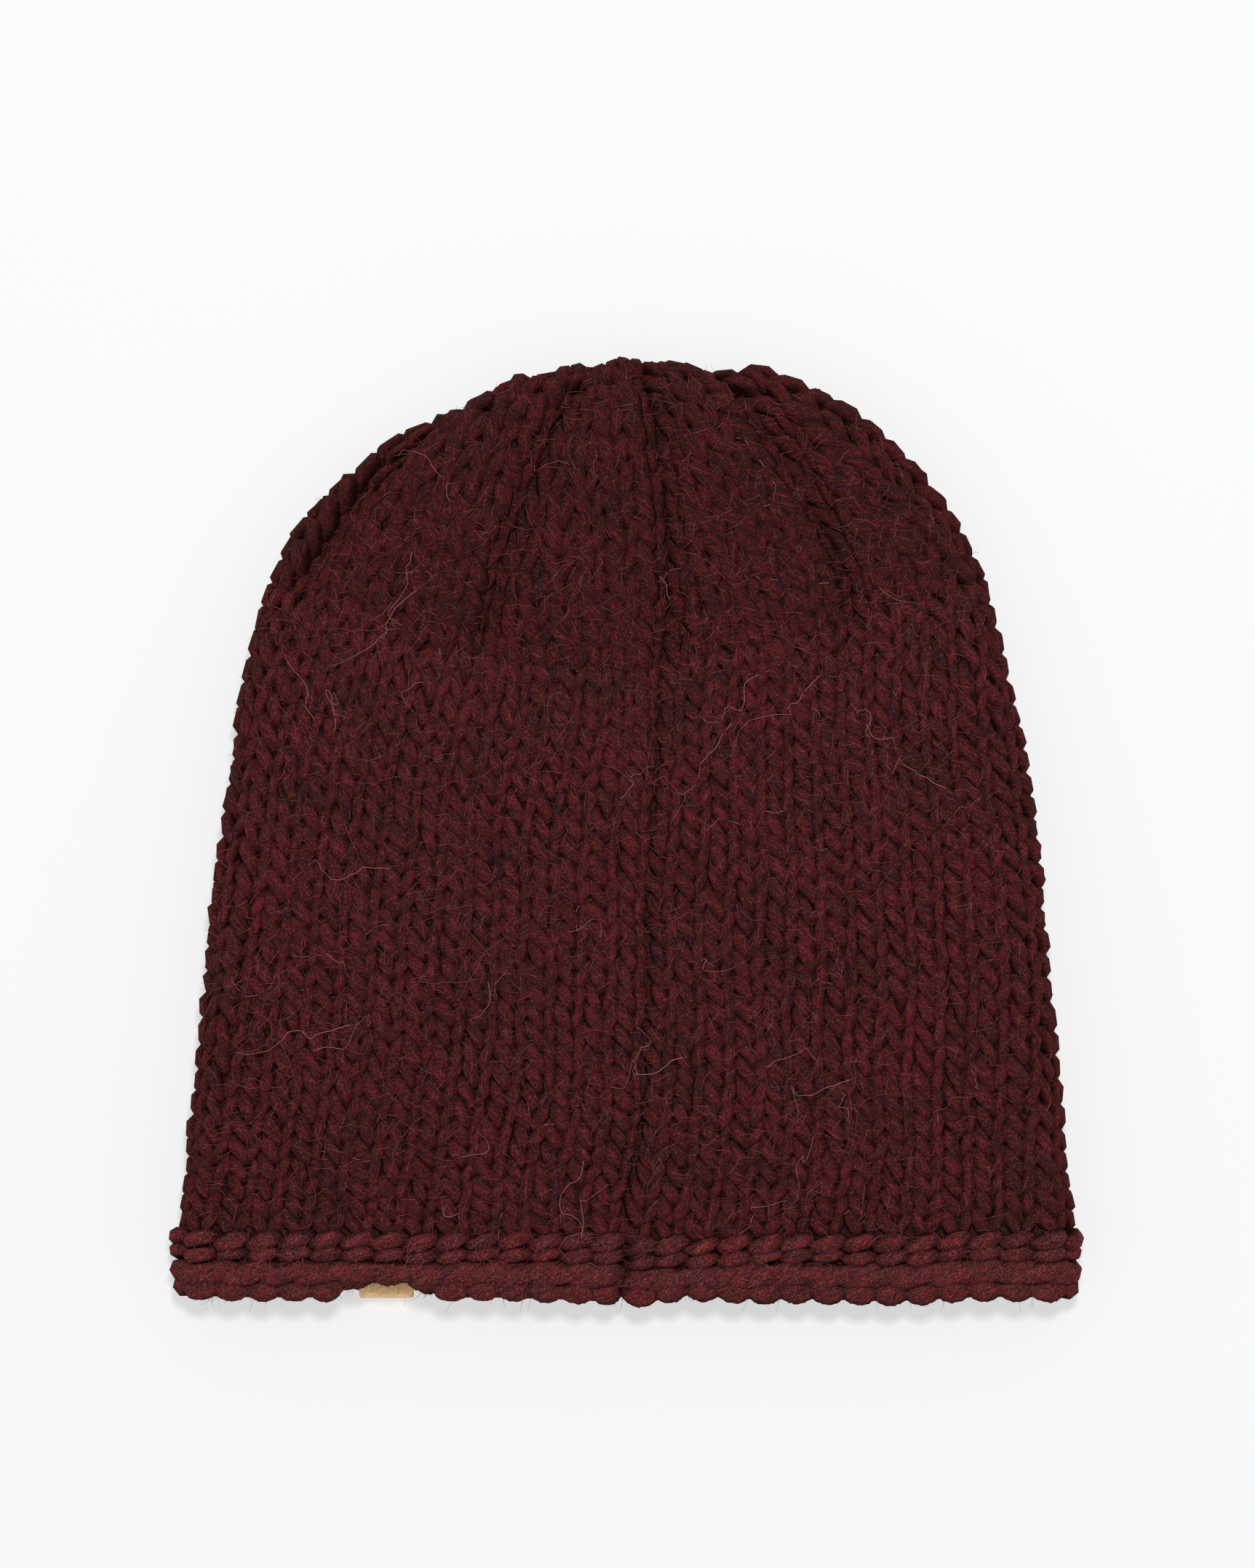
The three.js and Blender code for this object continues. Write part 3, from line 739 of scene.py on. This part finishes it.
def plainMaterial(name, colour):
    material = bpy.data.materials.new(name)
    material.use_nodes = True
    shader = material.node_tree.nodes["Principled BSDF"]
    shader.inputs["Base Color"].default_value = paint(colour)
    shader.inputs["Roughness"].default_value = 0.9
    shader.inputs["Specular IOR Level"].default_value = 0.2
    return material

# three copies of one wool: the crown copy is darker, painted shade; the brim copy is lighter, partly its own
# paler tone and partly painted light
bodyWool = woolMaterial("bodyWool", lighten=0.75, pale=0.6)
crownWool = woolMaterial("crownWool", lighten=0.61, pale=0.6)
brimWool = woolMaterial("brimWool", lighten=1.05, pale=0.9)

# Yarn swept along its line

sweep, g, given = shapeTree("yarnSweep", [("Sides", "NodeSocketInt"), ("Material", "NodeSocketMaterial")])
curve = g.add("GeometryNodeMeshToCurve", None, {"Mesh": given["Geometry"]})
thick = g.named("thick")
circle = g.add("GeometryNodeCurvePrimitiveCircle", None, {"Resolution": given["Sides"], "Radius": 1.0})
spot = g.add("GeometryNodeInputPosition")
circle = g.store(circle, "around", spot, "FLOAT_VECTOR")
tube = g.add("GeometryNodeCurveToMesh", None, {"Curve": curve, "Profile Curve": circle, "Scale": thick})
around, run = g.named("around", "FLOAT_VECTOR"), g.named("run")
thick = g.named("thick")
aroundX = g.add("ShaderNodeSeparateXYZ", None, {0: around * thick * 1000.0})
yarnPlace = g.vector(run, aroundX, g.also(aroundX, "Y"))
# outside: how far the tube's surface faces out of the knit; the wool material paints shade on the yarn's sides
# from it
facing = g.named("facing", "FLOAT_VECTOR")
normal = g.add("GeometryNodeInputNormal", None, None, "Normal")
outside = g.add("ShaderNodeVectorMath", {"operation": "DOT_PRODUCT"}, {0: facing, 1: normal}, "Value")
tube = g.store(tube, "outside", outside)
tube = g.store(tube, "yarnPlace", yarnPlace, "FLOAT_VECTOR")
for attribute in ("around", "run", "thick"):
    tube = g.add("GeometryNodeRemoveAttribute", None, {"Geometry": tube, "Name": attribute})
tube = g.add("GeometryNodeSetShadeSmooth", None, {"Geometry": tube, "Shade Smooth": True})
finishTree(g, tube, given["Material"])

runGap = 137  # between the runs of two yarns, so that their colours differ

def yarnMesh(name, yarns):
    mesh = bpy.data.meshes.new(name + "Line")
    places, edges, thick, run, outward, inset = [], [], [], [], [], []
    count, begun = 0, 0.0
    for points, radius, out in yarns:
        inset.append(np.minimum(fromFold(points[:, :2])[0], points[:, 1] - toY(0)) - radius)
        total = len(points)
        places.append(points)
        index = np.arange(total) + count
        edges.append(np.column_stack([index, np.roll(index, -1)]))
        thick.append(radius)
        outward.append(out)
        lengths = distances(points)
        run.append(lengths + begun)
        begun += lengths[-1] + runGap
        count += total
    places = np.vstack(places) / 1000
    mesh.from_pydata(places.tolist(), np.vstack(edges).tolist(), [])
    for attribute, values, size in (("thick", thick, 1000), ("run", run, 1), ("inset", inset, 1000)):
        values = (np.concatenate(values) / size).astype(np.float32)
        mesh.attributes.new(attribute, "FLOAT", "POINT").data.foreach_set("value", values)
    facing = mesh.attributes.new("facing", "FLOAT_VECTOR", "POINT")
    facing.data.foreach_set("vector", np.vstack(outward).astype(np.float32).ravel())
    return mesh

yarnPieces = []
third = knit["courses"] // 3
for name, yarns, node, slot, material in (
    ("knitLower", courses[:third], "crown", "wool", bodyWool),
    ("knitMiddle", courses[third:2 * third], "crown", "wool", bodyWool),
    ("knitCrown", courses[2 * third:], "crown", "wool", crownWool),
    ("brimYarn", bandYarns, "brim", "brim_wool", brimWool),
):
    piece = makePiece(name, yarnMesh(name, yarns), sweep, {"Sides": knit["sides"], "Material": material})
    yarnPieces.append((piece, node, slot))
    print(name, len(piece.data.polygons) * 2, "triangles")

# Matted wool behind the stitches, which closes the gaps between them

def coreMesh():
    parts = np.concatenate([[lowest * core["rim"]], partsUp(core["upTo"], core["rows"])])
    turns = np.arange(core["across"]) / core["across"]
    layers = []
    for out, floor in ((core["out"], core["floor"]), (core["out"] - core["thick"], core["floor"] * 2)):
        for part in parts:
            spots = np.full_like(turns, part)
            places, _ = onKnit(spots, turns, out - grooveOnTop(spots, turns))
            places[:, 2] = np.maximum(places[:, 2], floor)
            layers.append(places)
    points = np.vstack(layers) / 1000
    rows, count = len(parts), core["across"]
    faces = []
    for i in range(rows - 1):
        for j in range(count):
            k = (j + 1) % count
            outer = (i * count + j, i * count + k, (i + 1) * count + k, (i + 1) * count + j)
            faces.append(outer)
            faces.append(tuple(rows * count + v for v in outer[::-1]))
    for j in range(count):
        k = (j + 1) % count
        faces.append((j, rows * count + j, rows * count + k, k))
    top = (rows - 1) * count
    faces.append(tuple(top + j for j in range(count)))
    faces.append(tuple(rows * count + top + j for j in range(count))[::-1])
    mesh = bpy.data.meshes.new("knitCore")
    mesh.from_pydata(points.tolist(), [], faces)
    mesh.shade_smooth()
    mesh.materials.append(plainMaterial("mattedWool", core["colour"]))
    return mesh

knitCore = bpy.data.objects.new("knitCore", coreMesh())
bpy.context.scene.collection.objects.link(knitCore)
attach(knitCore, "root")
print("matted wool done")

# Fuzz and stray hairs

# Sizes in metres, as the node tree takes them; one colour for each seed
fuzz = {
    "density": 190000.0,
    "length": 0.0036,
    "spread": 0.0018,
    "points": 3,
    "radius": 0.000065,
    "tilt": 1.3,  # from the knit's outward direction, in radians
    "curl": 0.0014,
    "curlScale": 420.0,
    "facing": 0.3,  # the least slope up or down of the knit that they grow on
    "below": 0.3,  # share on the under layer
    "margin": 0.0028,  # in from the outline
    "seeds": (3, 4, 5),
    "colours": ((148, 84, 84), (80, 42, 38), (122, 54, 58)),
}
strays = {
    "density": 2600.0,
    "length": 0.017,
    "spread": 0.011,
    "points": 18,
    "radius": 0.000092,
    "tilt": 1.48,
    "curl": 0.011,
    "curlScale": 125.0,
    "facing": 0.8,
    "below": 0.3,
    "margin": 0.015,
    "seeds": (8, 9),
    "colours": ((176, 118, 116), (128, 66, 70)),
}
hairFloor = 0.0002
hairTip = 0.4  # radius at the tip, of that at the root

fibres, g, given = shapeTree("looseFibres", [
    ("From", "NodeSocketCollection"), ("Density", "NodeSocketFloat"), ("Length", "NodeSocketFloat"),
    ("Spread", "NodeSocketFloat"), ("Points", "NodeSocketInt"), ("Radius", "NodeSocketFloat"),
    ("Tilt", "NodeSocketFloat"), ("Curl", "NodeSocketFloat"), ("Curl Scale", "NodeSocketFloat"),
    ("Facing Up", "NodeSocketFloat"), ("Below", "NodeSocketFloat"), ("Margin", "NodeSocketFloat"),
    ("Seed", "NodeSocketInt"), ("Material", "NodeSocketMaterial")])
yarn = g.add("GeometryNodeCollectionInfo", None, {"Collection": given["From"]})
yarn = g.add("GeometryNodeRealizeInstances", None, {"Geometry": yarn})
facing = g.named("facing", "FLOAT_VECTOR")
normal = g.add("GeometryNodeInputNormal", None, None, "Normal")
outside = g.add("ShaderNodeVectorMath", {"operation": "DOT_PRODUCT"}, {0: facing, 1: normal}, "Value")
upward = g.add("ShaderNodeSeparateXYZ", None, {0: facing})
upward = g.also(upward, "Z")
isUp = g.math("GREATER_THAN", g.math("ABSOLUTE", upward), given["Facing Up"])
isBelow = g.math("LESS_THAN", upward, 0.0)
isInner = g.math("GREATER_THAN", g.named("inset"), given["Margin"])
share = isUp * isInner * (1.0 - isBelow * (1.0 - given["Below"]))
density = given["Density"] * g.ramp(outside, 0.1, 0.7) * share
spots = g.add("GeometryNodeDistributePointsOnFaces", None, {
    "Mesh": yarn, "Density": density, "Seed": given["Seed"]}, "Points")
facing = g.named("facing", "FLOAT_VECTOR")
turned = g.add("FunctionNodeAlignRotationToVector", {"axis": "Z"}, {"Vector": facing})
line = g.add("GeometryNodeCurvePrimitiveLine", None, {"End": (0.0, 0.0, 1.0)})
line = g.add("GeometryNodeResampleCurve", None, {"Curve": line, "Count": given["Points"]})
size = g.add("FunctionNodeRandomValue", {"data_type": "FLOAT"}, {
    "Min": given["Length"] - given["Spread"], "Max": given["Length"] + given["Spread"],
    "Seed": given["Seed"]})
placed = g.add("GeometryNodeInstanceOnPoints", None, {
    "Points": spots, "Instance": line, "Rotation": turned, "Scale": g.vector(size, size, size)})
spin = g.add("FunctionNodeRandomValue", {"data_type": "FLOAT"}, {
    "Min": 0.0, "Max": 6.28, "Seed": given["Seed"]})
spin = g.vector(given["Tilt"], 0.0, spin)
placed = g.add("GeometryNodeRotateInstances", None, {"Instances": placed, "Rotation": spin})
hairs = g.add("GeometryNodeRealizeInstances", None, {"Geometry": placed})
part = g.add("GeometryNodeSplineParameter", None, None, "Factor")
spot = g.add("GeometryNodeInputPosition")
sway = g.noise(spot, given["Curl Scale"], 1.0, 0.5, "Color") - (0.5, 0.5, 0.5)
hairs = g.add("GeometryNodeSetPosition", None, {
    "Geometry": hairs, "Offset": sway * (3.0, 3.0, 0.75) * (part * given["Curl"])})
across = g.add("ShaderNodeSeparateXYZ", None, {0: spot})
lifted = g.vector(across, g.also(across, "Y"), g.math("MAXIMUM", g.also(across, "Z"), hairFloor))
hairs = g.add("GeometryNodeSetPosition", None, {"Geometry": hairs, "Position": lifted})
section = g.add("GeometryNodeCurvePrimitiveCircle", None, {"Resolution": 3, "Radius": 1.0})
hairs = g.add("GeometryNodeCurveToMesh", None, {
    "Curve": hairs, "Profile Curve": section, "Fill Caps": True,
    "Scale": given["Radius"] * (1.0 - part * (1.0 - hairTip))})
finishTree(g, hairs, given["Material"])

yarnCollection = bpy.data.collections.new("yarn")
for piece, _, _ in yarnPieces:
    yarnCollection.objects.link(piece)

loose = []
for name, made in (("fuzz", fuzz), ("strayHairs", strays)):
    for seed, colour in zip(made["seeds"], made["colours"]):
        pieceName = f"{name}{seed}"
        density = made["density"] / len(made["seeds"]) * 1
        piece = makePiece(pieceName, bpy.data.meshes.new(pieceName + "Start"), fibres, {
            "From": yarnCollection, "Density": density, "Length": made["length"], "Spread": made["spread"],
            "Points": made["points"], "Radius": made["radius"], "Tilt": made["tilt"], "Curl": made["curl"],
            "Curl Scale": made["curlScale"], "Facing Up": made["facing"], "Below": made["below"],
            "Margin": made["margin"], "Seed": seed,
            "Material": plainMaterial(pieceName, colour)})
        loose.append(piece)
        print(pieceName, sum(len(p.vertices) - 2 for p in piece.data.polygons), "triangles")

for piece, node, slot in yarnPieces:
    for attribute in ("facing", "inset"):
        piece.data.attributes.remove(piece.data.attributes[attribute])
    yarnCollection.objects.unlink(piece)
    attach(piece, "root")
    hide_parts(node)
for piece in loose:
    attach(piece, "root")
bpy.data.collections.remove(yarnCollection)

# The tab: a strip of suede folded round the edge

suede = {
    "light": (255, 228, 172),
    "dark": (244, 184, 122),
    "cloud": (420.0, 3.0, 0.7),  # scale, detail, roughness
    "nap": (2600.0, 3.0, 0.7),
    "napShare": 0.6,
    "mottle": (0.4, 0.6),
    "edge": 0.35,
    "bump": 0.4,
    "bumpDepth": 0.0003,
    "sheen": 0.2,
}

def suedeMaterial():
    material = bpy.data.materials.new("suede")
    material.use_nodes = True
    tree = material.node_tree
    tree.nodes.clear()
    g = Graph(tree)
    place = g.add("ShaderNodeTexCoord", None, None, "Object")
    cloud, nap = g.noise(place, *suede["cloud"]), g.noise(place, *suede["nap"])
    mottle = g.ramp(cloud * (1 - suede["napShare"]) + nap * suede["napShare"], *suede["mottle"])
    colour = g.blend(mottle, paint(suede["dark"]), paint(suede["light"]))
    bump = g.add("ShaderNodeBump", None, {
        "Strength": suede["bump"], "Distance": suede["bumpDepth"], "Height": nap})
    shader = g.add("ShaderNodeBsdfPrincipled", None, {
        "Base Color": colour, "Roughness": 0.9, "Normal": bump, "Sheen Weight": suede["sheen"],
        "Specular IOR Level": 0.2})
    g.add("ShaderNodeOutputMaterial", None, {"Surface": shader})
    return material

def tabPiece():
    centre, radius = tab["height"] / 2, (tab["height"] - tab["thick"]) / 2
    foldAt = toY(tab["fold"]) + tab["height"] / 2
    end = toY(tab["fold"]) + tab["leg"]
    legs = np.linspace(end, foldAt, tab["legRows"])
    angles = np.linspace(-math.pi / 2, math.pi / 2, tab["bendRows"])[1:-1]
    side = [(y, centre - radius) for y in legs]
    side += [(foldAt - radius * math.cos(a), centre + radius * math.sin(a)) for a in angles]
    side += [(y, centre + radius) for y in legs[::-1]]
    columns = tab["columns"]
    xs = np.linspace(-tab["width"] / 2, tab["width"] / 2, columns) + tab["middle"]
    rng = np.random.default_rng(tab["seed"])
    edge = rng.uniform(-tab["ragged"], tab["ragged"], (len(side), 2))
    points = []
    for i, (y, z) in enumerate(side):
        for j, x in enumerate(xs):
            shift = edge[i, 0] if j == 0 else edge[i, 1] if j == columns - 1 else 0
            points.append(((x + shift) / 1000, y / 1000, z / 1000))
    faces = []
    for i in range(len(side) - 1):
        for j in range(columns - 1):
            corner = i * columns + j
            faces.append((corner, corner + 1, corner + columns + 1, corner + columns))
    mesh = bpy.data.meshes.new("tab")
    mesh.from_pydata(points, [], faces)
    piece = bpy.data.objects.new("tab", mesh)
    bpy.context.scene.collection.objects.link(piece)
    solid = piece.modifiers.new("thick", "SOLIDIFY")
    solid.thickness, solid.offset = tab["thick"] / 1000, 0
    bevel = piece.modifiers.new("edge", "BEVEL")
    bevel.width, bevel.segments, bevel.limit_method = suede["edge"] / 1000, 3, "ANGLE"
    bpy.context.view_layer.update()
    made = bpy.data.meshes.new_from_object(piece.evaluated_get(bpy.context.evaluated_depsgraph_get()))
    piece.modifiers.clear()
    piece.data = made
    made.materials.append(suedeMaterial())
    made.shade_smooth()
    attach(piece, "root")
    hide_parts("label")

tabPiece()
print("tab done")

# Studio: a plain pale floor, soft light from overhead and a little from behind the crown

studio = {
    "floor": (160, 160, 161),
    "floorReach": 4,
    "glow": 0.56,
    "sky": 0.5,
    "lamp": 24.0,
    "lampPlace": (0.06, 0.4, 1.9),
    "lampSize": 0.25,
    "camera": (0.0004, 0.0129, 2.0),
    "lens": 169.3,
}

floorMesh = bpy.data.meshes.new("floor")
far = studio["floorReach"]
floorMesh.from_pydata([(-far, -far, 0), (far, -far, 0), (far, far, 0), (-far, far, 0)], [], [(0, 1, 2, 3)])
floor = bpy.data.objects.new("floor", floorMesh)
bpy.context.scene.collection.objects.link(floor)
floorPaint = plainMaterial("floor", studio["floor"])
floorShader = floorPaint.node_tree.nodes["Principled BSDF"]
floorShader.inputs["Emission Color"].default_value = (1, 1, 1, 1)
floorShader.inputs["Emission Strength"].default_value = studio["glow"]
floorMesh.materials.append(floorPaint)

world = bpy.data.worlds.new("studio")
bpy.context.scene.world = world
world.use_nodes = True
world.node_tree.nodes["Background"].inputs["Color"].default_value = (1, 1, 1, 1)
world.node_tree.nodes["Background"].inputs["Strength"].default_value = studio["sky"]

lamp = bpy.data.objects.new("lamp", bpy.data.lights.new("lamp", "AREA"))
lamp.data.energy, lamp.data.shape, lamp.data.size = studio["lamp"], "DISK", studio["lampSize"]
lamp.location = studio["lampPlace"]
lamp.rotation_euler = (-math.atan2(studio["lampPlace"][1], studio["lampPlace"][2]), 0, 0)
bpy.context.scene.collection.objects.link(lamp)

camera = bpy.data.objects.new("camera", bpy.data.cameras.new("camera"))
camera.location = studio["camera"]
camera.data.lens = studio["lens"]
camera.data.dof.use_dof = False
bpy.context.scene.collection.objects.link(camera)
bpy.context.scene.camera = camera
bpy.context.scene.view_settings.view_transform = "Standard"
print("studio done")
